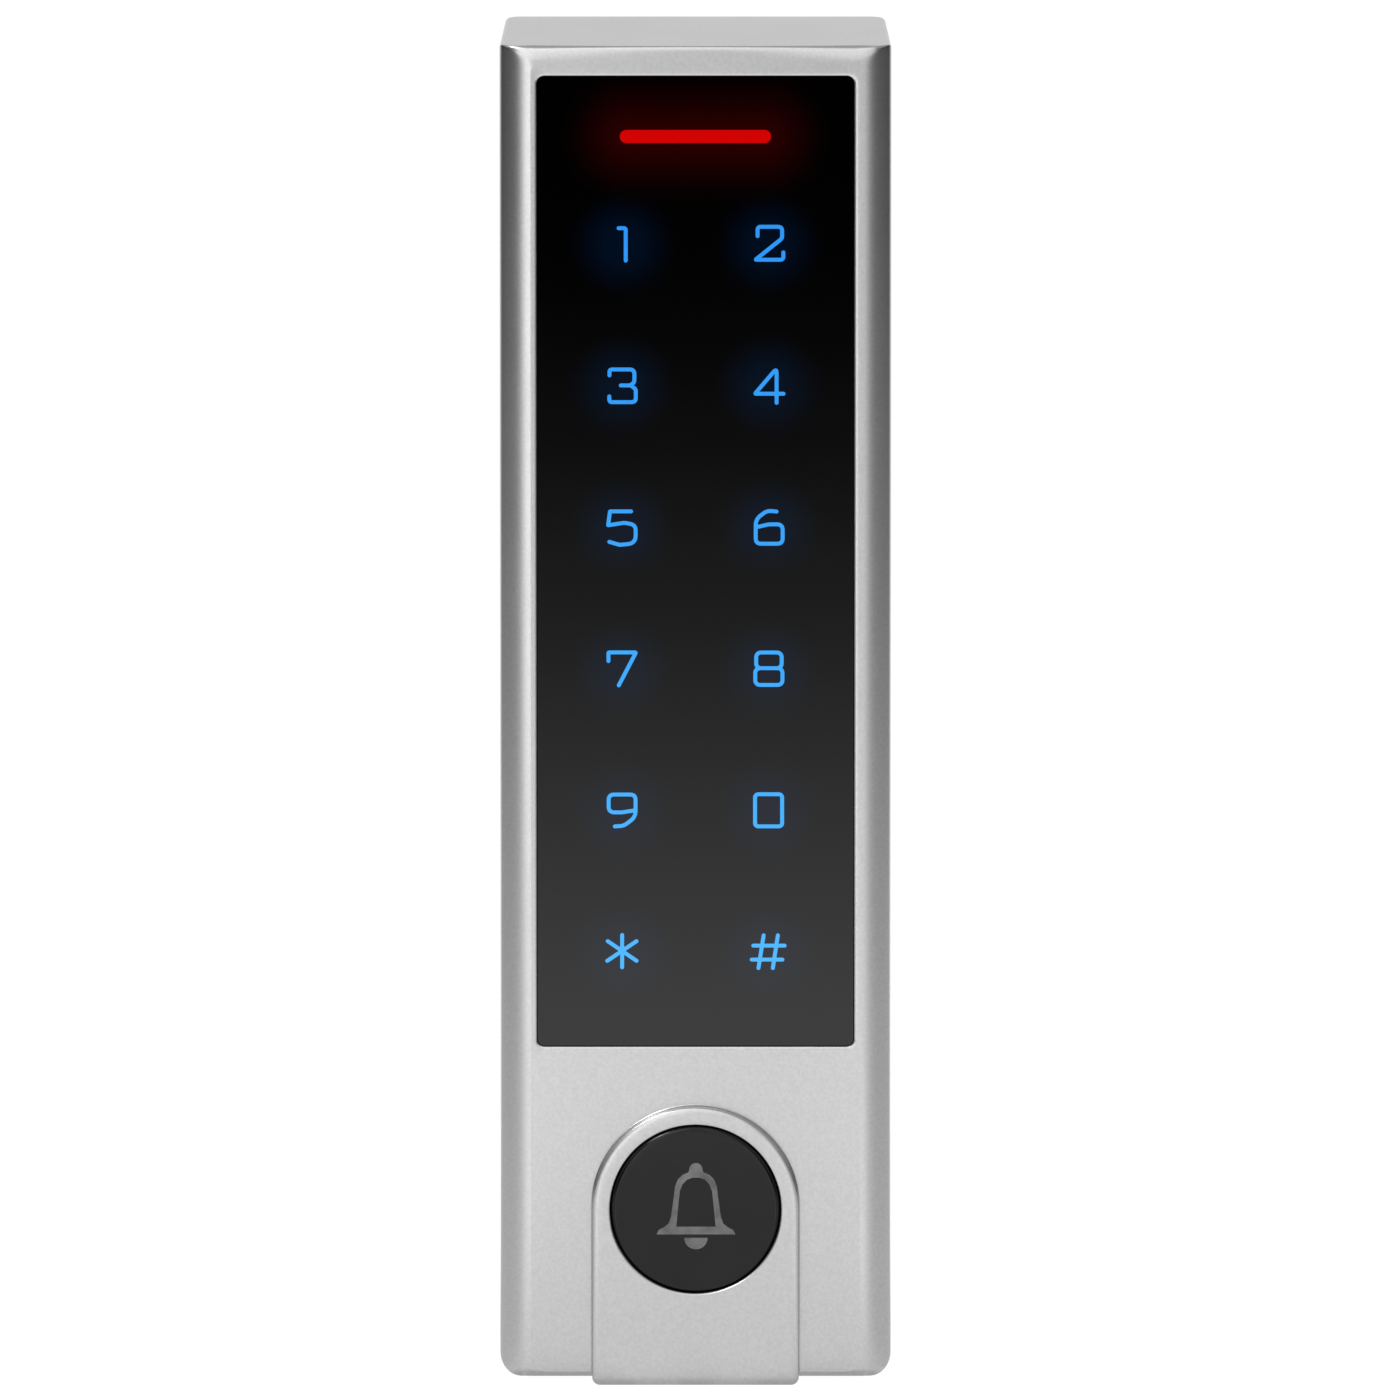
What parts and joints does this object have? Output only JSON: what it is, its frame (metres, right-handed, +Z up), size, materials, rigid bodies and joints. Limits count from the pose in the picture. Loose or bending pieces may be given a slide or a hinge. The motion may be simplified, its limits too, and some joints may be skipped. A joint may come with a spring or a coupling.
{
  "type": "keypad access reader",
  "caption": "Slim wall-mounted access reader: satin metal housing, backlit touch keypad under black glass, status light bar and a sprung bell push button.",
  "frame": {"origin": "centre of the wall bracket's rear face, at half the height of the housing", "axes": "+Z up the reader, +Y from the front face into the wall, +X to the right when seen from the front; the front face looks along -Y"},
  "size_m": [0.05, 0.0248, 0.1738],
  "materials": {
    "satin_metal": "fine satin cast metal, neutral silver grey",
    "black_glass": "toughened glass, printed black on its back",
    "button_metal": "dark satin coating",
    "foam_tape": "black foam adhesive tape",
    "diffuser_plastic": "milky light-spreading film",
    "black_plastic": "moulded black plastic",
    "status_red": "clear red light-guiding plastic",
    "circuit_board": "solder-masked glass-fibre board",
    "key_light": "clear encapsulated light-emitting part",
    "copper": "enamelled copper winding",
    "ferrite": "flexible ferrite sheet",
    "dark_plastic": "moulded dark grey plastic",
    "terminal_green": "moulded green plastic",
    "white_plastic": "moulded white plastic",
    "rubber": "black silicone rubber",
    "bright_steel": "bright stainless steel",
    "zinc_steel": "zinc-plated steel"
  },
  "bodies": {
    "reader": {"antenna_coil": "copper", "board_connector": "white_plastic", "board_screw_1": "zinc_steel", "board_screw_2": "zinc_steel", "board_screw_3": "zinc_steel", "board_screw_4": "zinc_steel", "button_carrier": "black_plastic", "buzzer": "black_plastic", "cable_grommet": "rubber", "carrier_screw_1": "zinc_steel", "carrier_screw_2": "zinc_steel", "cover_screw_1": "zinc_steel", "cover_screw_2": "zinc_steel", "cover_screw_3": "zinc_steel", "cover_screw_4": "zinc_steel", "cover_screw_5": "zinc_steel", "cover_screw_6": "zinc_steel", "ferrite_sheet": "ferrite", "front_housing": "satin_metal", "key_led_1": "key_light", "key_led_10": "key_light", "key_led_11": "key_light", "key_led_12": "key_light", "key_led_2": "key_light", "key_led_3": "key_light", "key_led_4": "key_light", "key_led_5": "key_light", "key_led_6": "key_light", "key_led_7": "key_light", "key_led_8": "key_light", "key_led_9": "key_light", "key_light_baffle": "black_plastic", "light_diffuser": "diffuser_plastic", "main_board": "circuit_board", "panel_adhesive": "foam_tape", "processor_chip": "dark_plastic", "rear_cover": "dark_plastic", "rear_seal": "rubber", "relay": "dark_plastic", "return_spring": "bright_steel", "security_screw": "bright_steel", "status_led_1": "status_red", "status_led_2": "status_red", "status_led_3": "status_red", "status_light_bar": "status_red", "switch_body": "dark_plastic", "tamper_light_sensor": "key_light", "terminal_block": "terminal_green", "touch_board": "circuit_board", "touch_panel_glass": "black_glass", "wall_bracket": "zinc_steel"},
    "bell_button": {"button_cap": "button_metal", "button_seal_ring": "rubber", "button_stem": "bright_steel", "stem_clip": "bright_steel"},
    "switch_plunger": {"switch_plunger": "black_plastic"}
  },
  "joints": [
    {"name": "bell_press", "type": "slide", "parent": "reader", "child": "bell_button", "axis": [0, 1, 0], "range_m": [0, 0.0009], "stiffness_N_per_m": 3000, "springref_m": -0.0008, "deforming": ["return_spring"]},
    {"name": "switch_press", "type": "slide", "parent": "reader", "child": "switch_plunger", "axis": [0, 1, 0], "range_m": [0, 0.0009]}
  ],
  "couplings": [
    {"joint": "switch_press", "follows": "bell_press", "ratio": 1}
  ]
}
